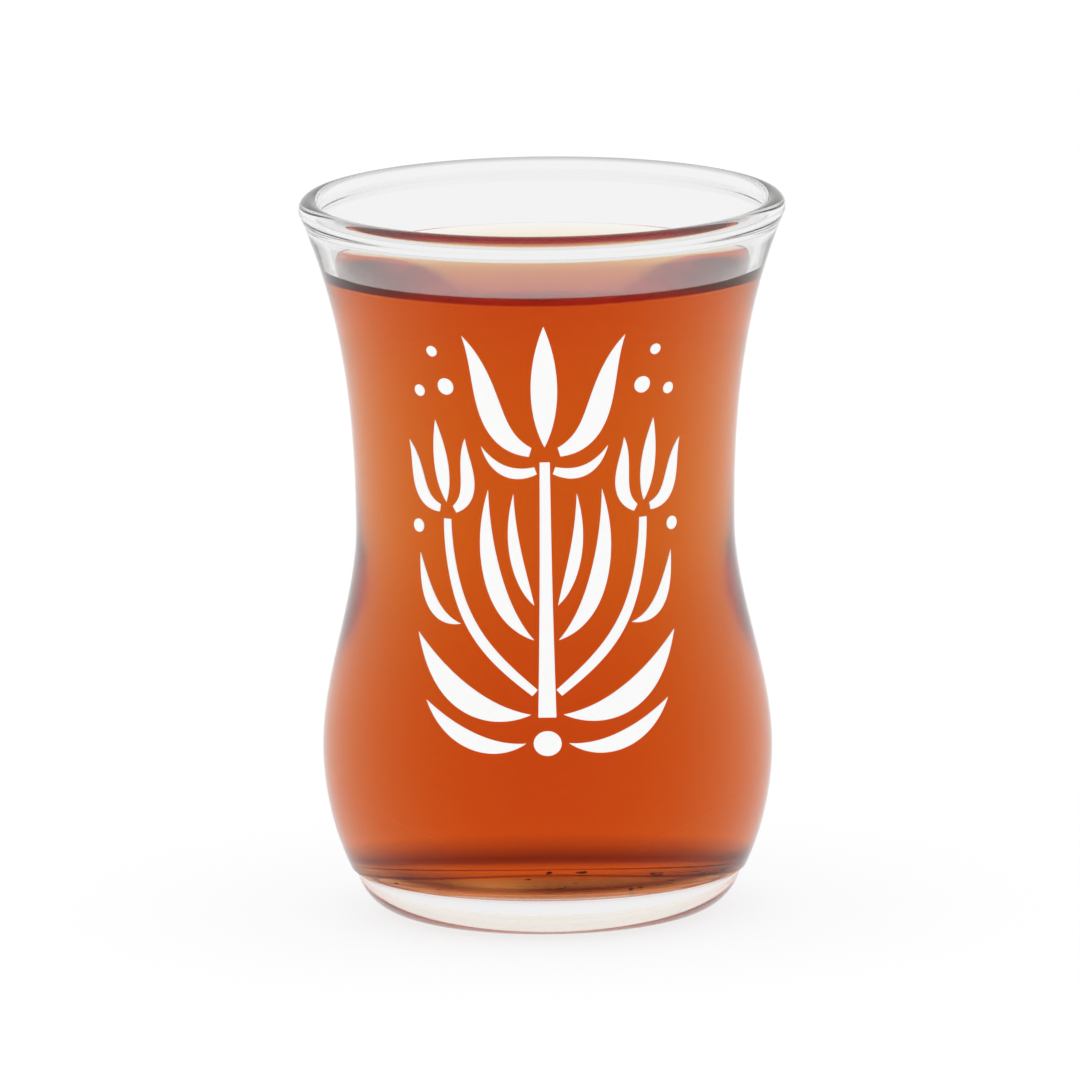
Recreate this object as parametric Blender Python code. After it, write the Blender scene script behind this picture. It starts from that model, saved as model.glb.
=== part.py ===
"""Waisted tea glass filled with tea.

A turned glass vessel with a thick solid base, a round belly, a narrow waist and
a flared, fire-rounded lip, and the tea that stands in it. Both are solids of
revolution about Z. The foot stands on z = 0. Everything is in metres.
"""

import math

import bpy

# Turning
SEGMENTS = 56
WELD = 0.00001
SHARP_ANGLE = math.radians(40)

# Outside of the glass, from the table up
HEIGHT = 0.0850
RECESS_DEPTH = 0.0006
RECESS_RADIUS = 0.0148
STANDING_RING_INNER = 0.0155
FOOT_RADIUS = 0.0228
FOOT_ROUNDING = 0.0060
CREASE_HEIGHT = 0.0054
BELLY_RADIUS = 0.0265
BELLY_HEIGHT = 0.0195
BELLY_ROUNDING = 0.0340
WAIST_RADIUS = 0.0223
WAIST_HEIGHT = 0.0460
FLARE_SLOPE = 0.42

# Lip, a round bead that is thicker than the wall and runs into it with a fillet
LIP_BEAD = 0.00125
LIP_CENTRE_RADIUS = 0.0274
LIP_WALL = 0.0014
LIP_FILLET = 0.0012

# Inside of the glass
WALL = 0.0019
FLOOR_HEIGHT = 0.0052
CROWN_RISE = 0.0015
CAVITY_ROUNDING = 0.0110
CAVITY_SPREAD = 0.0053
CAVITY_BELLY_WALL = 0.0022

# Tea
TEA_LEVEL = 0.0760
GAP = 0.0003

# Number of straight steps in each stretch of the outline
FOOT_STEPS = 7
BELLY_STEPS = 8
WAIST_STEPS = 9
FLARE_STEPS = 11
LIP_STEPS = 8
LIP_FILLET_STEPS = 3
CROWN_STEPS = 6
CAVITY_STEPS = 8


def arc(centre, radius, start_deg, end_deg, steps, rise=None):
    """Points on a circle in the (r, z) plane, or an ellipse if its rise is given, both ends included."""
    rise = rise or radius
    points = []
    for i in range(steps + 1):
        angle = math.radians(start_deg + (end_deg - start_deg) * i / steps)
        points.append((centre[0] + radius * math.cos(angle), centre[1] + rise * math.sin(angle)))
    return points


def sweep(low, high, low_slope, high_slope, steps):
    """A smooth (r, z) stretch whose radius leaves and arrives at the given slopes, dr/dz."""
    rise = high[1] - low[1]
    points = []
    for i in range(steps + 1):
        t = i / steps
        radius = (low[0] * (2 * t**3 - 3 * t**2 + 1) + high[0] * (3 * t**2 - 2 * t**3)
                  + rise * low_slope * (t**3 - 2 * t**2 + t) + rise * high_slope * (t**3 - t**2))
        points.append((radius, low[1] + rise * t))
    return points


def joined(*stretches):
    """One outline from stretches that meet, without the points they share."""
    outline = []
    for stretch in stretches:
        for point in stretch:
            if not outline or math.dist(point, outline[-1]) > WELD:
                outline.append(point)
    return outline


def outside():
    """Outer outline, from the middle of the underside up to the lip's bead."""
    foot_centre = (FOOT_RADIUS - FOOT_ROUNDING, FOOT_ROUNDING)
    crease_angle = math.degrees(math.asin((CREASE_HEIGHT - FOOT_ROUNDING) / FOOT_ROUNDING))
    belly_centre = (BELLY_RADIUS - BELLY_ROUNDING, BELLY_HEIGHT)
    belly_angle = math.degrees(math.asin((CREASE_HEIGHT - BELLY_HEIGHT) / BELLY_ROUNDING))
    flare_angle = math.degrees(math.atan(FLARE_SLOPE))
    lip_centre = (LIP_CENTRE_RADIUS, HEIGHT - LIP_BEAD)
    flare_top = arc(lip_centre, LIP_BEAD, -flare_angle, -flare_angle, 1)[0]
    return joined(
        [(0.0, RECESS_DEPTH), (RECESS_RADIUS, RECESS_DEPTH), (STANDING_RING_INNER, 0.0)],
        arc(foot_centre, FOOT_ROUNDING, -90, crease_angle, FOOT_STEPS),
        arc(belly_centre, BELLY_ROUNDING, belly_angle, 0, BELLY_STEPS),
        sweep((BELLY_RADIUS, BELLY_HEIGHT), (WAIST_RADIUS, WAIST_HEIGHT), 0, 0, WAIST_STEPS),
        sweep((WAIST_RADIUS, WAIST_HEIGHT), flare_top, 0, FLARE_SLOPE, FLARE_STEPS),
        arc(lip_centre, LIP_BEAD, -flare_angle, 180 - flare_angle + lip_turn(), LIP_STEPS),
    )


def lip_turn():
    """How far the bead turns under, in degrees, before the fillet leads into the thinner wall."""
    inward = LIP_WALL + LIP_FILLET - LIP_BEAD
    return math.degrees(math.acos(inward / (LIP_BEAD + LIP_FILLET)))


def lip_fillet(clearance):
    """From the inner wall up into the bead: an arc that touches both."""
    flare_angle = math.degrees(math.atan(FLARE_SLOPE))
    turn = 180 - flare_angle + lip_turn()
    reach = LIP_BEAD + LIP_FILLET
    centre = (LIP_CENTRE_RADIUS + reach * math.cos(math.radians(turn)),
              HEIGHT - LIP_BEAD + reach * math.sin(math.radians(turn)))
    return arc(centre, LIP_FILLET - clearance, -flare_angle, turn - 180, LIP_FILLET_STEPS)


def crown(radius, clearance):
    """The cavity's floor, which rises a little towards its middle, up to its lowest ring."""
    points = []
    for i in range(CROWN_STEPS):
        t = i / CROWN_STEPS
        points.append((radius * t, FLOOR_HEIGHT + clearance + CROWN_RISE * (1 - t**2)**2))
    return points


def cavity(clearance=0.0):
    """Inner outline, from the middle of the cavity's floor up to the lip's bead."""
    belly = (BELLY_RADIUS - CAVITY_BELLY_WALL - clearance, FLOOR_HEIGHT + CAVITY_ROUNDING)
    spread = CAVITY_SPREAD - clearance
    waist = (WAIST_RADIUS - WALL - clearance, WAIST_HEIGHT)
    fillet = lip_fillet(clearance)
    return joined(
        crown(belly[0] - spread, clearance),
        arc((belly[0] - spread, belly[1]), spread, -90, 0, CAVITY_STEPS, CAVITY_ROUNDING - clearance),
        sweep(belly, waist, 0, 0, WAIST_STEPS),
        sweep(waist, fillet[0], 0, FLARE_SLOPE, FLARE_STEPS),
        fillet,
    )


def tea_outline():
    """Tea outline, from the middle of its surface out to the wall and down to the floor."""
    wall = cavity(GAP)
    under = [point for point in wall if point[1] < TEA_LEVEL]
    above = wall[len(under)]
    share = (TEA_LEVEL - under[-1][1]) / (above[1] - under[-1][1])
    edge = under[-1][0] + (above[0] - under[-1][0]) * share
    return [(0.0, TEA_LEVEL), (edge, TEA_LEVEL)] + under[::-1]


def turned(name, outline, material):
    """A solid of revolution: the outline runs from axis to axis, down its outer side."""
    mesh = bpy.data.meshes.new(name)
    vertices = [(radius, 0.0, height) for radius, height in outline]
    edges = [(i, i + 1) for i in range(len(outline) - 1)]
    mesh.from_pydata(vertices, edges, [])
    mesh.materials.append(material)
    piece = bpy.data.objects.new(name, mesh)
    bpy.context.scene.collection.objects.link(piece)

    screw = piece.modifiers.new("turning", "SCREW")
    screw.axis = "Z"
    screw.steps = SEGMENTS
    screw.render_steps = SEGMENTS
    screw.use_merge_vertices = True
    screw.merge_threshold = WELD
    screw.use_smooth_shade = True

    bpy.context.view_layer.objects.active = piece
    piece.select_set(True)
    bpy.ops.object.modifier_apply(modifier=screw.name)
    piece.data.shade_smooth()
    piece.data.set_sharp_from_angle(angle=SHARP_ANGLE)
    piece.select_set(False)
    return piece


def finish(name, colour, roughness, transmission, ior):
    material = bpy.data.materials.new(name)
    material.use_nodes = True
    shader = material.node_tree.nodes["Principled BSDF"]
    shader.inputs["Base Color"].default_value = (*colour, 1.0)
    shader.inputs["Metallic"].default_value = 0.0
    shader.inputs["Roughness"].default_value = roughness
    shader.inputs["Transmission Weight"].default_value = transmission
    shader.inputs["IOR"].default_value = ior
    material.diffuse_color = (*colour, 1.0)
    return material


def build():
    for old in list(bpy.data.objects):
        bpy.data.objects.remove(old, do_unlink=True)

    clear_glass = finish("clear_glass", (0.93, 0.95, 0.95), 0.03, 0.9, 1.5)
    brewed_tea = finish("brewed_tea", (0.55, 0.09, 0.02), 0.05, 0.6, 1.33)

    turned("glass", cavity() + outside()[::-1], clear_glass)
    turned("tea", tea_outline(), brewed_tea)


build()
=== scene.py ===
"""The finish of the waisted tea glass: smooth clear glass, amber tea that climbs the
wall in a thin meniscus, leaf specks on the bottom, a white enamel tulip spray on the
front, and the studio that it stands in.

Everything is in metres in the frame's own axes: the foot stands on z = 0, and the
camera looks along +Y at the front of the glass.
"""

import math
import random

import bpy
from mathutils import Matrix, Vector


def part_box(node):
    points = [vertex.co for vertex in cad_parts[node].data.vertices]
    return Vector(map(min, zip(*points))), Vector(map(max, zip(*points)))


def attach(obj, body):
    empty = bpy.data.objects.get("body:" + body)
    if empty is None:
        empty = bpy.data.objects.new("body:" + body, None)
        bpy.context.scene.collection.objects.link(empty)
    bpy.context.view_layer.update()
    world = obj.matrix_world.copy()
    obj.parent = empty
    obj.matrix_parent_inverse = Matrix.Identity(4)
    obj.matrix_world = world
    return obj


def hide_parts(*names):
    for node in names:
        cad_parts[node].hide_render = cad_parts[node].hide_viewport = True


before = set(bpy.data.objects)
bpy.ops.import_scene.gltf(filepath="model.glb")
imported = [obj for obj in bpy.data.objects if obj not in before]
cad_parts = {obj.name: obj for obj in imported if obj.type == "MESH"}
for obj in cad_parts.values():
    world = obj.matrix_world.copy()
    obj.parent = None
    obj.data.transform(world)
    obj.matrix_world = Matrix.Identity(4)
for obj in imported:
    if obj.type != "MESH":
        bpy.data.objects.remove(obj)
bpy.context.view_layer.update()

glass_low, glass_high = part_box("glass")
tea_low, tea_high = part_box("tea")

MM = 0.001
WELD = 0.000005

# Outside of the glass, from the table up
HEIGHT = glass_high.z
RECESS_DEPTH = 0.6 * MM
RECESS_RADIUS = 14.8 * MM
STANDING_RING_INNER = 15.5 * MM
FOOT_RADIUS = 22.8 * MM
FOOT_ROUNDING = 6.0 * MM
CREASE_HEIGHT = 5.4 * MM
CREASE_FILLET = 0.35 * MM
BELLY_RADIUS = 26.5 * MM
BELLY_HEIGHT = 19.5 * MM
BELLY_ROUNDING = 34.0 * MM
WAIST_RADIUS = 22.3 * MM
WAIST_HEIGHT = 46.0 * MM
FLARE_SLOPE = 0.42

# Lip, a round bead that is thicker than the wall and runs into it with a fillet
LIP_BEAD = 1.25 * MM
LIP_CENTRE_RADIUS = glass_high.x - LIP_BEAD
LIP_WALL = 1.4 * MM
LIP_FILLET = 1.2 * MM
LIP_CENTRE = (LIP_CENTRE_RADIUS, HEIGHT - LIP_BEAD)

# Inside of the glass
WALL = 1.9 * MM
CAD_GAP = 0.3 * MM
FLOOR_HEIGHT = tea_low.z - CAD_GAP
CROWN_RISE = 1.5 * MM
CROWN_STEPS = 16
CAVITY_ROUNDING = 11.0 * MM
CAVITY_SPREAD = 5.3 * MM
CAVITY_BELLY_WALL = 2.2 * MM

# Tea
TEA_LEVEL = tea_high.z
INTO_WALL = 0.25 * MM
MENISCUS_RISE = 1.5 * MM
MENISCUS_REACH = 1.2 * MM
MENISCUS_STEPS = 16
MENISCUS_WIDTH = 6.0 * MM
MENISCUS_LEAN = 0.7 * FLARE_SLOPE

# Turning
TURNS = 160
SHARP_ANGLE = math.radians(35)


# Outlines, all in (radius, height)

def arc(centre, radius, start_deg, end_deg, steps, rise=None):
    """Points on a circle, or an ellipse if its rise is given, both ends included."""
    rise = rise or radius
    points = []
    for i in range(steps + 1):
        angle = math.radians(start_deg + (end_deg - start_deg) * i / steps)
        points.append((centre[0] + radius * math.cos(angle), centre[1] + rise * math.sin(angle)))
    return points


def sweep(low, high, low_slope, high_slope, steps):
    """A smooth stretch whose radius leaves and arrives at the given slopes."""
    rise = high[1] - low[1]
    points = []
    for i in range(steps + 1):
        t = i / steps
        radius = (low[0] * (2 * t**3 - 3 * t**2 + 1) + high[0] * (3 * t**2 - 2 * t**3)
                  + rise * low_slope * (t**3 - 2 * t**2 + t) + rise * high_slope * (t**3 - t**2))
        points.append((radius, low[1] + rise * t))
    return points


def joined(*stretches):
    """One outline from stretches that meet, without the points they share."""
    outline = []
    for stretch in stretches:
        for point in stretch:
            if not outline or math.dist(point, outline[-1]) > WELD:
                outline.append(point)
    return outline


def flare_angle():
    return math.degrees(math.atan(FLARE_SLOPE))


def foot_outline():
    """From the middle of the underside over the standing ring to the crease."""
    centre = (FOOT_RADIUS - FOOT_ROUNDING, FOOT_ROUNDING)
    crease = math.degrees(math.asin((CREASE_HEIGHT - FOOT_ROUNDING) / FOOT_ROUNDING))
    underside = [(0.0, RECESS_DEPTH), (RECESS_RADIUS, RECESS_DEPTH), (STANDING_RING_INNER, 0.0)]
    return joined(underside, arc(centre, FOOT_ROUNDING, -90, crease, 20))


def wall_outline():
    """Outer wall from the crease up to the lip's bead."""
    belly_centre = (BELLY_RADIUS - BELLY_ROUNDING, BELLY_HEIGHT)
    low_angle = math.degrees(math.asin((CREASE_HEIGHT - BELLY_HEIGHT) / BELLY_ROUNDING))
    belly = (BELLY_RADIUS, BELLY_HEIGHT)
    waist = (WAIST_RADIUS, WAIST_HEIGHT)
    flare_top = arc(LIP_CENTRE, LIP_BEAD, -flare_angle(), -flare_angle(), 1)[0]
    return joined(
        arc(belly_centre, BELLY_ROUNDING, low_angle, 0, 22),
        sweep(belly, waist, 0, 0, 30),
        sweep(waist, flare_top, 0, FLARE_SLOPE, 36),
    )


def lip_outline():
    """The bead, from the outer wall over the top to where its inner fillet begins."""
    return arc(LIP_CENTRE, LIP_BEAD, -flare_angle(), 180 - flare_angle() + lip_turn(), 24)


def lip_turn():
    """How far the bead turns under, in degrees, before the fillet leads into the thinner wall."""
    inward = LIP_WALL + LIP_FILLET - LIP_BEAD
    return math.degrees(math.acos(inward / (LIP_BEAD + LIP_FILLET)))


def lip_fillet(into_wall):
    """From the inner wall up into the bead: an arc that touches both."""
    turn = 180 - flare_angle() + lip_turn()
    reach = LIP_BEAD + LIP_FILLET
    centre = (LIP_CENTRE[0] + reach * math.cos(math.radians(turn)),
              LIP_CENTRE[1] + reach * math.sin(math.radians(turn)))
    return arc(centre, LIP_FILLET + into_wall, -flare_angle(), turn - 180, 10)


def crown(radius, into_wall):
    """The cavity's floor, which rises a little towards its middle, as far as its lowest ring."""
    points = []
    for i in range(CROWN_STEPS):
        t = i / CROWN_STEPS
        points.append((radius * t, FLOOR_HEIGHT - into_wall + CROWN_RISE * (1 - t**2)**2))
    return points


def cavity_outline(into_wall=0.0):
    """Inner wall, from the middle of the cavity's floor up to the lip's bead."""
    belly = (BELLY_RADIUS - CAVITY_BELLY_WALL + into_wall, FLOOR_HEIGHT + CAVITY_ROUNDING)
    spread = CAVITY_SPREAD + into_wall
    waist = (WAIST_RADIUS - WALL + into_wall, WAIST_HEIGHT)
    fillet = lip_fillet(into_wall)
    return joined(
        crown(belly[0] - spread, into_wall),
        arc((belly[0] - spread, belly[1]), spread, -90, 0, 30, CAVITY_ROUNDING + into_wall),
        sweep(belly, waist, 0, 0, 30),
        sweep(waist, fillet[0], 0, FLARE_SLOPE, 36),
        fillet,
    )


def wall_of(outline):
    """The stretch of an outline above its lowest point, which is its wall."""
    return outline[outline.index(min(outline, key=lambda point: point[1])):]


def radius_at(outline, height):
    """Radius of a wall at a height, between its two nearest points."""
    outline = wall_of(outline)
    for low, high in zip(outline, outline[1:]):
        if low[1] <= height <= high[1]:
            share = (height - low[1]) / (high[1] - low[1])
            return low[0] + (high[0] - low[0]) * share
    return outline[-1][0]


def height_at(outline, radius):
    """Height of a floor at a radius, between its two nearest points."""
    for inner, outer in zip(outline, outline[1:]):
        if outer[0] >= radius:
            share = (radius - inner[0]) / (outer[0] - inner[0])
            return inner[1] + (outer[1] - inner[1]) * share
    return outline[-1][1]


def split_at(outline, height):
    """The outline with one more point where its wall passes a height."""
    low = [point for point in outline if point[1] < height]
    high = [point for point in outline if point[1] > height]
    return low + [(radius_at(outline, height), height)] + high


def tea_outline():
    """From the middle of the surface, up the meniscus, into the wall and down to the floor."""
    edge = radius_at(cavity_outline(), TEA_LEVEL)
    top = TEA_LEVEL + MENISCUS_RISE
    surface = [(0.0, TEA_LEVEL)]
    for i in range(MENISCUS_STEPS + 1):
        inward = MENISCUS_WIDTH * (1 - i / MENISCUS_STEPS) ** 2
        height = TEA_LEVEL + MENISCUS_RISE * math.exp(-inward / MENISCUS_REACH)
        radius = edge + (height - TEA_LEVEL) * MENISCUS_LEAN - inward
        surface.append((radius, height))
    wall = cavity_outline(INTO_WALL)
    top_in_wall = (radius_at(wall, top), top)
    below = [point for point in wall if point[1] < top - WELD]
    return surface + [top_in_wall] + below[::-1]


# Modelling

def start(name, add, **how):
    """Adds a primitive with nothing else selected, names it and opens it for editing."""
    bpy.ops.object.select_all(action="DESELECT")
    add(**how)
    piece = bpy.context.object
    piece.name = name
    piece.data.name = name
    bpy.ops.object.mode_set(mode="EDIT")
    bpy.ops.mesh.select_all(action="SELECT")
    return piece


def close(piece, sharp_angle=SHARP_ANGLE):
    """Merges doubles, turns the faces outwards and shades the piece."""
    bpy.ops.mesh.select_all(action="SELECT")
    bpy.ops.mesh.remove_doubles(threshold=WELD)
    bpy.ops.mesh.normals_make_consistent(inside=False)
    bpy.ops.object.mode_set(mode="OBJECT")
    bpy.ops.object.shade_smooth_by_angle(angle=sharp_angle)
    return piece


def turned(name, outline, crease=None):
    """A point is drawn out along the half outline, eased at the crease, and the line is spun."""
    piece = start(name, bpy.ops.mesh.primitive_plane_add, size=MM)
    bpy.ops.mesh.merge(type="CENTER")
    bpy.ops.transform.translate(value=(outline[0][0], 0, outline[0][1]))
    for here, there in zip(outline, outline[1:]):
        step = (there[0] - here[0], 0, there[1] - here[1])
        bpy.ops.mesh.extrude_region_move(TRANSFORM_OT_translate={"value": step})
    if crease:
        bpy.ops.object.mode_set(mode="OBJECT")
        for vertex in piece.data.vertices:
            vertex.select = math.dist((vertex.co.x, vertex.co.z), crease) < WELD
        bpy.ops.object.mode_set(mode="EDIT")
        bpy.ops.mesh.bevel(offset=CREASE_FILLET, segments=5, affect="VERTICES")
    bpy.ops.mesh.select_all(action="SELECT")
    bpy.ops.mesh.spin(steps=TURNS, angle=math.tau, center=(0, 0, 0), axis=(0, 0, 1))
    return close(piece)


def join(name, pieces):
    bpy.ops.object.select_all(action="DESELECT")
    for piece in pieces:
        piece.select_set(True)
    bpy.context.view_layer.objects.active = pieces[0]
    bpy.ops.object.join()
    pieces[0].name = name
    pieces[0].data.name = name
    return pieces[0]


def modify(piece, kind, **settings):
    """Adds a modifier and applies it."""
    bpy.ops.object.select_all(action="DESELECT")
    piece.select_set(True)
    bpy.context.view_layer.objects.active = piece
    modifier = piece.modifiers.new(kind.lower(), kind)
    for setting, value in settings.items():
        setattr(modifier, setting, value)
    bpy.ops.object.modifier_apply(modifier=modifier.name)


def make_glass():
    """The glass: its second material slot is the inner wall where the tea wets it."""
    contact = TEA_LEVEL + MENISCUS_RISE
    inside = split_at(cavity_outline(), contact)
    foot = foot_outline()
    glass = turned("tea_glass", joined(foot, wall_outline(), lip_outline(), inside[::-1]), foot[-1])
    for face in glass.data.polygons:
        out, up = face.center.xy.length, face.center.z
        face.material_index = int(FLOOR_HEIGHT - WELD < up < contact
                                  and out < radius_at(inside, up) + WALL / 4)
    return glass


def make_tea():
    """The drink, which reaches just into the wall so that no air shows between them."""
    return turned("amber_tea", tea_outline())


# Tea-leaf specks, sunk on the cavity's floor

SPECK_COUNT = 22
SPECK_SEED = 11
SPECK_LENGTH = 0.95 * MM
SPECK_RING = 19.0 * MM
SPECK_LIFT = 0.25 * MM
SPECK_LEAN = 0.4

# A speck's form, as shares of its length and strengths of its taper and twist
SPECK_WIDTH = 0.45
SPECK_THICKNESS = 0.12
SPECK_TAPER = 2.4
SPECK_TWIST = 1.5


def leaf_speck(name, length, curl):
    """A crumb of leaf: a small grid, narrowed at its ends, curled and given a thickness."""
    piece = start(name, bpy.ops.mesh.primitive_grid_add, size=length,
                  x_subdivisions=4, y_subdivisions=2)
    bpy.ops.transform.resize(value=(1, SPECK_WIDTH, 1))
    bpy.ops.object.mode_set(mode="OBJECT")
    for vertex in piece.data.vertices:
        along = vertex.co.x / length
        vertex.co.y *= 1 - SPECK_TAPER * along**2
        vertex.co.z = curl * length * (along**2 + SPECK_TWIST * along * vertex.co.y / length)
    modify(piece, "SOLIDIFY", thickness=SPECK_THICKNESS * length, offset=0)
    return piece


def make_specks():
    """Specks of all sizes, strewn over the cavity's floor."""
    rng = random.Random(SPECK_SEED)
    floor_line = cavity_outline()
    specks = []
    for i in range(SPECK_COUNT):
        length = SPECK_LENGTH * rng.uniform(0.5, 1.2)
        curl = rng.uniform(0.2, 0.6)
        speck = leaf_speck(f"speck_{i}", length, curl)
        bearing = rng.uniform(0, math.tau)
        out = SPECK_RING * math.sqrt(rng.uniform(0.05, 1))
        height = height_at(floor_line, out) + SPECK_LIFT
        heading = Matrix.Rotation(rng.uniform(0, math.tau), 4, "Z")
        lean = Matrix.Rotation(rng.uniform(-SPECK_LEAN, SPECK_LEAN), 4, "X")
        place = Matrix.Translation((out * math.cos(bearing), out * math.sin(bearing), height))
        speck.data.transform(place @ heading @ lean)
        specks.append(speck)
    piece = join("tea_leaf_specks", specks)
    piece.data.shade_flat()
    return piece


# Enamel spray, drawn flat as (across, up) and then laid round the front wall

SPRAY_FOOT = 25.0 * MM
WRAP_RADIUS = 23.0 * MM
ENAMEL = 0.09 * MM
ENAMEL_IN_GLASS = 0.03 * MM
ENAMEL_SHARP_ANGLE = math.radians(50)
STROKE_STEPS = 26
STROKE_ACROSS = 6
STROKE_LIFT = 0.004 * MM
DOT_SIDES = 20
DOT_INSET = 0.4

# Curves of the right half in millimetres, each with its width at the start, middle and end
SPRAY_STROKES = [
    # Outer petal and collar of the middle tulip
    ([(1.7, 33.6), (7.6, 35.4), (6.0, 41.8), (9.0, 47.6)], (1.1, 2.5, 0)),
    ([(1.1, 31.4), (3.9, 30.4), (6.2, 31.4), (7.6, 34.2)], (0.9, 1.0, 0)),
    # Side stem, its leaf and the three petals of its lesser tulip
    ([(1.3, 5.4), (6.2, 9.6), (12.4, 14.0), (12.3, 25.2)], (0.9, 0.75, 1.0)),
    ([(10.2, 13.0), (13.8, 13.2), (15.6, 16.2), (16.4, 20.8)], (0, 1.5, 0)),
    ([(12.4, 27.2), (12.7, 29.6), (13.1, 32.8), (13.4, 37.0)], (0, 1.9, 0)),
    ([(11.3, 26.4), (8.1, 28.2), (10.2, 31.8), (9.6, 35.0)], (0.9, 1.5, 0)),
    ([(13.3, 26.4), (17.2, 27.2), (15.9, 31.2), (17.5, 34.2)], (0.9, 1.5, 0)),
    # Long leaf, split by its vein
    ([(1.4, 11.4), (5.8, 14.2), (8.2, 20.6), (6.9, 29.0)], (0, 2.2, 0)),
    ([(1.4, 15.4), (2.9, 17.8), (4.6, 22.4), (3.8, 28.6)], (0, 1.5, 0)),
    # Low leaves that turn outwards
    ([(1.7, 2.9), (7.2, 2.2), (11.4, 5.4), (15.8, 11.6)], (0, 2.8, 0)),
    ([(2.2, -0.4), (6.2, -2.0), (10.2, 0.2), (13.6, 4.0)], (0, 1.9, 0)),
]
# Dots of the right half: across, up and radius
SPRAY_DOTS = [(11.6, 41.2, 1.0), (15.2, 40.4, 0.7), (16.6, 24.0, 0.8), (12.9, 45.4, 0.65)]


def bezier(points, t):
    """Place and direction on a cubic curve of four points."""
    a, b, c, d = (Vector(point) for point in points)
    place = a * (1 - t)**3 + b * 3 * t * (1 - t)**2 + c * 3 * t * t * (1 - t) + d * t**3
    heading = (b - a) * (1 - t)**2 + (c - b) * 2 * t * (1 - t) + (d - c) * t * t
    return place, heading.normalized()


def stroke(points, widths):
    """A brush stroke: a grid drawn along a curve, as wide as its start, middle and end say."""
    piece = start("stroke", bpy.ops.mesh.primitive_grid_add, size=1,
                  x_subdivisions=STROKE_STEPS, y_subdivisions=STROKE_ACROSS)
    bpy.ops.object.mode_set(mode="OBJECT")
    first, middle, last = widths
    for vertex in piece.data.vertices:
        t = vertex.co.x + 0.5
        place, heading = bezier(points, t)
        width = first * (1 - t)**2 + middle * 2 * t * (1 - t) * 2 + last * t * t
        aside = Vector((-heading.y, heading.x)) * width * vertex.co.y
        vertex.co = ((place.x + aside.x) * MM, (place.y + aside.y) * MM, 0)
    return piece


def dot(across, up, radius):
    """A round dot of enamel, with rings inside it so that it can bend round the wall."""
    piece = start("dot", bpy.ops.mesh.primitive_circle_add, vertices=DOT_SIDES,
                  radius=radius * MM, fill_type="NGON")
    bpy.ops.mesh.inset(thickness=radius * MM * DOT_INSET)
    bpy.ops.mesh.poke()
    bpy.ops.mesh.select_all(action="SELECT")
    bpy.ops.transform.translate(value=(across * MM, up * MM, 0))
    bpy.ops.object.mode_set(mode="OBJECT")
    return piece


def draw_spray():
    """A tulip on a straight stem between two lesser ones, with long leaves and dots."""
    # Stem, middle petal and root
    drawn = [
        stroke([(0, 2.6), (0, 12), (0, 22), (0, 32.4)], (1.9, 0.75, 1.2)),
        stroke([(0, 34.2), (0, 38), (0, 43.5), (0, 49.0)], (0, 3.0, 0)),
        dot(0, -0.4, 1.45),
    ]
    for side in (-1, 1):
        for points, widths in SPRAY_STROKES:
            drawn.append(stroke([(across * side, up) for across, up in points], widths))
        for across, up, radius in SPRAY_DOTS:
            drawn.append(dot(across * side, up, radius))
    for i, piece in enumerate(drawn):
        lift = STROKE_LIFT * (i % 3)
        for vertex in piece.data.vertices:
            vertex.co.z += lift
    return drawn


def lay_on_wall(piece):
    """Bends a flat drawing round the front of the glass: its thickness turns outwards."""
    wall = wall_outline()
    for vertex in piece.data.vertices:
        across, up, out = vertex.co
        angle = across / WRAP_RADIUS
        height = SPRAY_FOOT + up
        radius = radius_at(wall, height) + out
        vertex.co = (radius * math.sin(angle), -radius * math.cos(angle), height)


def make_spray():
    """The drawing, given the enamel's thickness and laid on the wall, sunk in it a little."""
    piece = join("enamel_spray", draw_spray())
    bpy.ops.object.mode_set(mode="EDIT")
    bpy.ops.mesh.select_all(action="SELECT")
    bpy.ops.mesh.remove_doubles(threshold=WELD)
    bpy.ops.mesh.dissolve_degenerate(threshold=WELD)
    bpy.ops.mesh.normals_make_consistent(inside=False)
    bpy.ops.object.mode_set(mode="OBJECT")
    modify(piece, "SOLIDIFY", thickness=ENAMEL + ENAMEL_IN_GLASS, offset=-1)
    lowest = min(vertex.co.z for vertex in piece.data.vertices)
    for vertex in piece.data.vertices:
        vertex.co.z += -lowest - ENAMEL_IN_GLASS
    lay_on_wall(piece)
    bpy.ops.object.mode_set(mode="EDIT")
    return close(piece, ENAMEL_SHARP_ANGLE)


# Materials

class Wire:
    """The output of a node, so that shader maths reads as an expression."""

    def __init__(self, finish, socket):
        self.finish = finish
        self.socket = socket

    def maths(self, operation, first, second):
        return self.finish.node("ShaderNodeMath", {"operation": operation}, {0: first, 1: second})

    def __add__(self, other):
        return self.maths("ADD", self, other)

    def __mul__(self, other):
        return self.maths("MULTIPLY", self, other)

    __radd__ = __add__
    __rmul__ = __mul__


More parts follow.
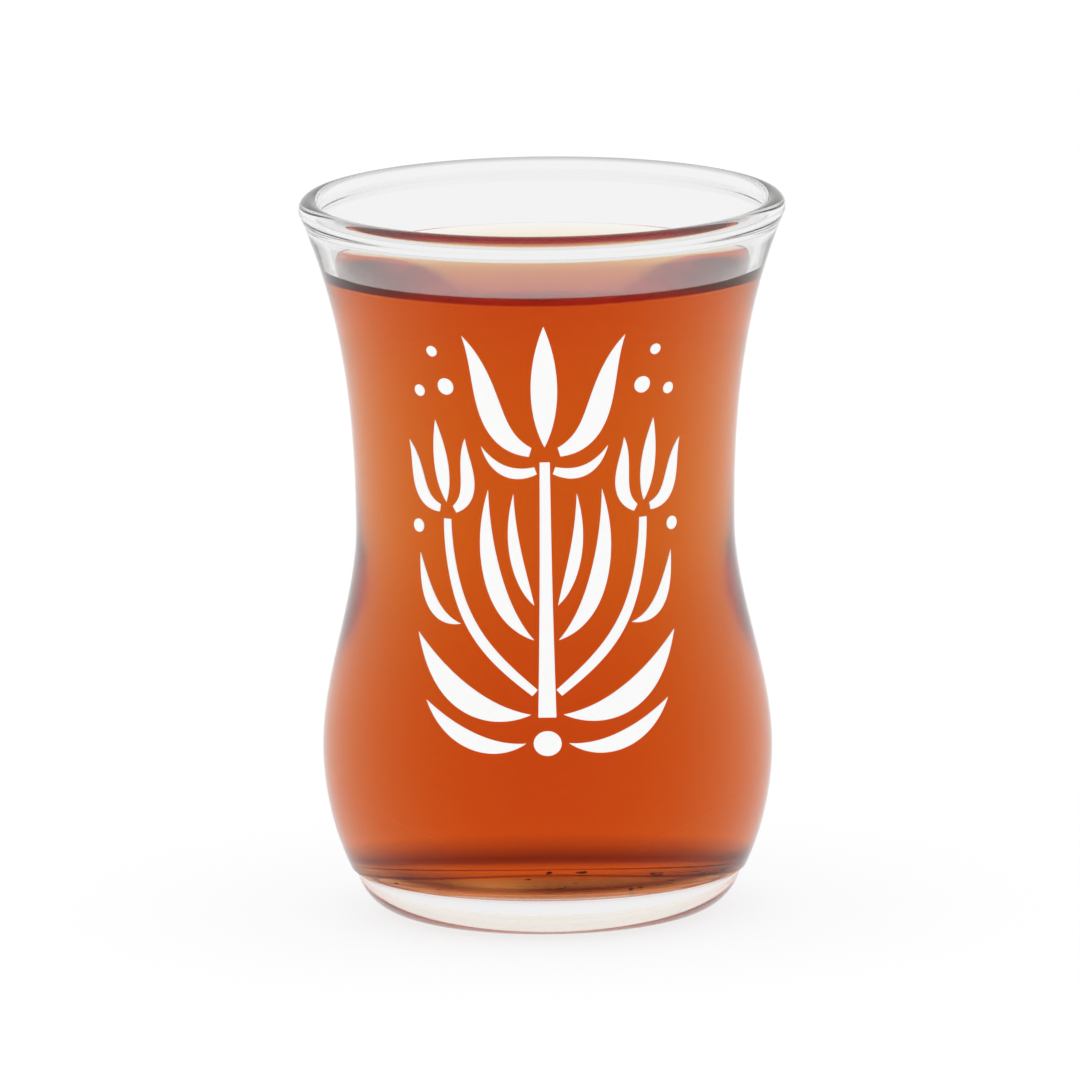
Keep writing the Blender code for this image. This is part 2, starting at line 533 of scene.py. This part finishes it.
class Finish:
    """A material, its Principled shader and the nodes behind it."""

    def __init__(self, name):
        self.material = bpy.data.materials.new(name)
        self.material.use_nodes = True
        self.tree = self.material.node_tree
        self.shader = self.tree.nodes["Principled BSDF"]
        self.output = self.tree.nodes["Material Output"]

    def node(self, kind, settings=None, values=None, output=0):
        """Adds a node: its settings first, then the values or wires of its sockets."""
        node = self.tree.nodes.new(kind)
        for setting, value in (settings or {}).items():
            setattr(node, setting, value)
        for socket, value in (values or {}).items():
            self.feed(node.inputs[socket], value)
        return Wire(self, node.outputs[output])

    def feed(self, socket, value):
        if isinstance(value, Wire):
            self.tree.links.new(value.socket, socket)
        else:
            socket.default_value = value

    def shade(self, **values):
        """Sets the shader's sockets: Base_Color stands for Base Color."""
        for socket, value in values.items():
            self.feed(self.shader.inputs[socket.replace("_", " ")], value)

    def place(self):
        return self.node("ShaderNodeTexCoord", output="Object")

    def height(self):
        return self.node("ShaderNodeSeparateXYZ", None, {0: self.place()}, output=2)

    def ramp(self, value, start, end):
        """Rises from 0 to 1 while the value goes from start to end."""
        return self.node("ShaderNodeMapRange", None, {0: value, 1: start, 2: end})

    def noise(self, scale, detail=2.0):
        return self.node("ShaderNodeTexNoise", None,
                         {"Vector": self.place(), "Scale": scale, "Detail": detail})

    def blend(self, factor, one, other):
        return self.node("ShaderNodeMix", {"data_type": "RGBA"},
                         {"Factor": factor, 6: one, 7: other}, output=2)

    def bump(self, height, distance):
        return self.node("ShaderNodeBump", None,
                         {"Height": height, "Distance": distance, "Strength": 1.0})


def dress(piece, *finishes):
    """Gives a piece its material slots, without losing which face has which."""
    slots = [face.material_index for face in piece.data.polygons]
    piece.data.materials.clear()
    for finish in finishes:
        piece.data.materials.append(finish.material)
    for face, slot in zip(piece.data.polygons, slots):
        face.material_index = slot


def rgb(red, green, blue):
    return (red, green, blue, 1.0)


# Clear glass, whose tint dims the light each time that it enters or leaves
DRY_SHINE = 0.2
DRY_TINT = 0.87
WET_TINT = 0.985
TINT_CHANGE = 0.01
WAVE_DEPTH = 0.03 * MM
# Painted shade: a grey line painted along the top of the lip, for the dark edge that the rounded
# bead shows there
LIP_PAINTED_SHADE = rgb(0.28, 0.28, 0.28)
LIP_PAINTED_SHADE_DEPTH = 0.4 * MM

# Painted shade: a dark ring painted into the glass's colour above the crease, where shade gathers,
# as heights: where it starts, is darkest and ends
CREASE_PAINTED_SHADE = rgb(0.26, 0.10, 0.075)
CREASE_PAINTED_SHADE_LOW = 5.9 * MM
CREASE_PAINTED_SHADE_PEAK = 6.7 * MM
CREASE_PAINTED_SHADE_HIGH = 9.0 * MM


def clear_glass(name, shine, tint):
    """Clear glass, faintly wavy, with painted shade: greyer along the top of its lip and darker
    above its crease, unevenly round the ring.
    """
    finish = Finish(name)
    height = finish.height()
    waves = finish.noise(38, 1.0) + finish.noise(140, 0.0) * 0.15
    clearer = tint + TINT_CHANGE
    body = finish.blend(finish.noise(60), rgb(tint, tint, tint), rgb(clearer, clearer, clearer))
    # Painted shade: where the grey line along the top of the lip is painted into the glass's colour
    lip = finish.ramp(height, HEIGHT - LIP_PAINTED_SHADE_DEPTH, HEIGHT)
    # Painted shade: a patchy dark ring above the crease, mixed into the glass's colour
    below = finish.ramp(height, CREASE_PAINTED_SHADE_LOW, CREASE_PAINTED_SHADE_PEAK)
    above = finish.ramp(height, CREASE_PAINTED_SHADE_HIGH, CREASE_PAINTED_SHADE_PEAK)
    shade_patches = finish.ramp(finish.noise(50, 1.0), 0.25, 0.50)
    with_painted_lip_shade = finish.blend(lip, body, LIP_PAINTED_SHADE)
    finish.shade(
        Base_Color=finish.blend(below * above * shade_patches, with_painted_lip_shade, CREASE_PAINTED_SHADE),
        Roughness=0.0,
        IOR=1.5,
        Transmission_Weight=1.0,
        Specular_Tint=rgb(shine, shine, shine),
        Normal=finish.bump(waves, WAVE_DEPTH),
    )
    return finish


# Red, green and blue light that the tea absorbs, per metre: red passes and blue is lost
TEA_ABSORBS = (9.5, 57.0, 155.0)
TEA_DENSITY = 160.0

# The tea's surface is sharp at the bottom, where the specks lie, and softer higher up
SOFT_TEA = 0.12
SOFT_TEA_BOTTOM = 9.0 * MM
SOFT_TEA_TOP = 18.0 * MM


def brewed_tea():
    """Clear tea, whose colour is its depth: the light fades evenly on its way through."""
    finish = Finish("brewed_tea")
    red, green, blue = (1 - share / TEA_DENSITY for share in TEA_ABSORBS)
    tone = finish.blend(finish.noise(50), rgb(0.985, 0.975, 0.96), rgb(1.0, 0.995, 0.99))
    softness = finish.ramp(finish.height(), SOFT_TEA_BOTTOM, SOFT_TEA_TOP) * SOFT_TEA
    finish.shade(
        Base_Color=tone,
        Roughness=softness,
        IOR=1.333,
        Transmission_Weight=1.0,
        Specular_Tint=rgb(0.0, 0.0, 0.0),
    )
    absorption = finish.node("ShaderNodeVolumeAbsorption", None,
                             {"Color": rgb(red, green, blue), "Density": TEA_DENSITY})
    finish.feed(finish.output.inputs["Volume"], absorption)
    return finish


LEAF_ROUGHNESS = 0.04 * MM
ENAMEL_GRAIN = 0.006 * MM


def soaked_leaf():
    """Wet, nearly black leaf."""
    finish = Finish("soaked_leaf")
    tone = finish.blend(finish.noise(1500), rgb(0.030, 0.010, 0.004), rgb(0.085, 0.030, 0.010))
    finish.shade(
        Base_Color=tone,
        Roughness=0.75,
        Normal=finish.bump(finish.noise(4000), LEAF_ROUGHNESS),
    )
    return finish


def white_enamel():
    """Fired white enamel, half glossy and slightly uneven."""
    finish = Finish("white_enamel")
    grain = finish.noise(900, 3.0)
    tone = finish.blend(grain, rgb(0.93, 0.93, 0.925), rgb(0.97, 0.97, 0.965))
    finish.shade(
        Base_Color=tone,
        Roughness=0.32 + grain * 0.12,
        Normal=finish.bump(finish.noise(1800, 2.0), ENAMEL_GRAIN),
    )
    return finish


# Studio

FLOOR_SIZE = 8.0
FLOOR_DROP = 0.2 * MM
FLOOR_GLOW = 0.80
FLOOR_SHADE = 0.22
SKY = 1.0

# Light runs along inside the wall for many turns before it leaves
GLASS_BOUNCES = 128


def make_floor():
    """A white light table, whose own glow leaves only a faint shadow round the foot."""
    bpy.ops.object.select_all(action="DESELECT")
    bpy.ops.mesh.primitive_plane_add(size=FLOOR_SIZE, location=(0, 0, -FLOOR_DROP))
    floor = bpy.context.object
    floor.name = "floor"
    finish = Finish("white_table")
    finish.shade(
        Base_Color=rgb(FLOOR_SHADE, FLOOR_SHADE, FLOOR_SHADE),
        Roughness=0.9,
        Specular_IOR_Level=0.0,
        Emission_Color=rgb(1.0, 1.0, 1.0),
        Emission_Strength=FLOOR_GLOW,
    )
    dress(floor, finish)


def light_the_studio():
    """White all round, as in a photographer's tent."""
    scene = bpy.context.scene
    world = bpy.data.worlds.new("tent")
    world.use_nodes = True
    scene.world = world
    background = world.node_tree.nodes["Background"]
    background.inputs["Color"].default_value = rgb(SKY, SKY, SKY)
    scene.view_settings.view_transform = "Standard"
    scene.cycles.max_bounces = GLASS_BOUNCES
    scene.cycles.transmission_bounces = GLASS_BOUNCES
    scene.cycles.glossy_bounces = 16
    scene.cycles.diffuse_bounces = 4


# Camera: the photograph's frame is 1080 pixels each way

PHOTO_PIXELS = 1080
PIXELS_PER_METRE = 8490
AXIS_X, MIDDLE_Y = 545.5, 551.7
CAMERA_DISTANCE = 3.0
CAMERA_REACH = 100.0
CAMERA_RISE = math.radians(10.7)
CAMERA_ROLL = math.radians(-0.62)
SENSOR = 36.0


def aim_camera():
    """Stands the camera far off and a little above, and turns it to put the glass in place."""
    data = bpy.data.cameras.new("camera")
    camera = bpy.data.objects.new("camera", data)
    bpy.context.scene.collection.objects.link(camera)
    bpy.context.scene.camera = camera
    focal_pixels = PIXELS_PER_METRE * CAMERA_DISTANCE
    data.sensor_width = SENSOR
    data.lens = focal_pixels * SENSOR / PHOTO_PIXELS
    data.clip_end = CAMERA_REACH
    middle = Vector((0, 0, HEIGHT / 2))
    back = Vector((0, -math.cos(CAMERA_RISE), math.sin(CAMERA_RISE)))
    right = Vector((1, 0, 0))
    facing = Matrix((right, back.cross(right), back)).transposed().to_4x4()
    pan = math.atan((AXIS_X - PHOTO_PIXELS / 2) / focal_pixels)
    tilt = math.atan((MIDDLE_Y - PHOTO_PIXELS / 2) / focal_pixels)
    camera.matrix_world = (
        Matrix.Translation(middle + back * CAMERA_DISTANCE) @ facing
        @ Matrix.Rotation(pan, 4, "Y") @ Matrix.Rotation(tilt, 4, "X")
        @ Matrix.Rotation(CAMERA_ROLL, 4, "Z")
    )


def build():
    """Makes and dresses every piece, and sets up the studio round them."""
    glass = make_glass()
    dress(glass, clear_glass("clear_glass", DRY_SHINE, DRY_TINT),
          clear_glass("wetted_glass", 0.0, WET_TINT))
    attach(glass, "root")
    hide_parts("glass")

    tea = make_tea()
    dress(tea, brewed_tea())
    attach(tea, "root")
    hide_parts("tea")

    specks = make_specks()
    dress(specks, soaked_leaf())
    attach(specks, "root")

    spray = make_spray()
    dress(spray, white_enamel())
    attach(spray, "root")

    make_floor()
    light_the_studio()
    aim_camera()


build()
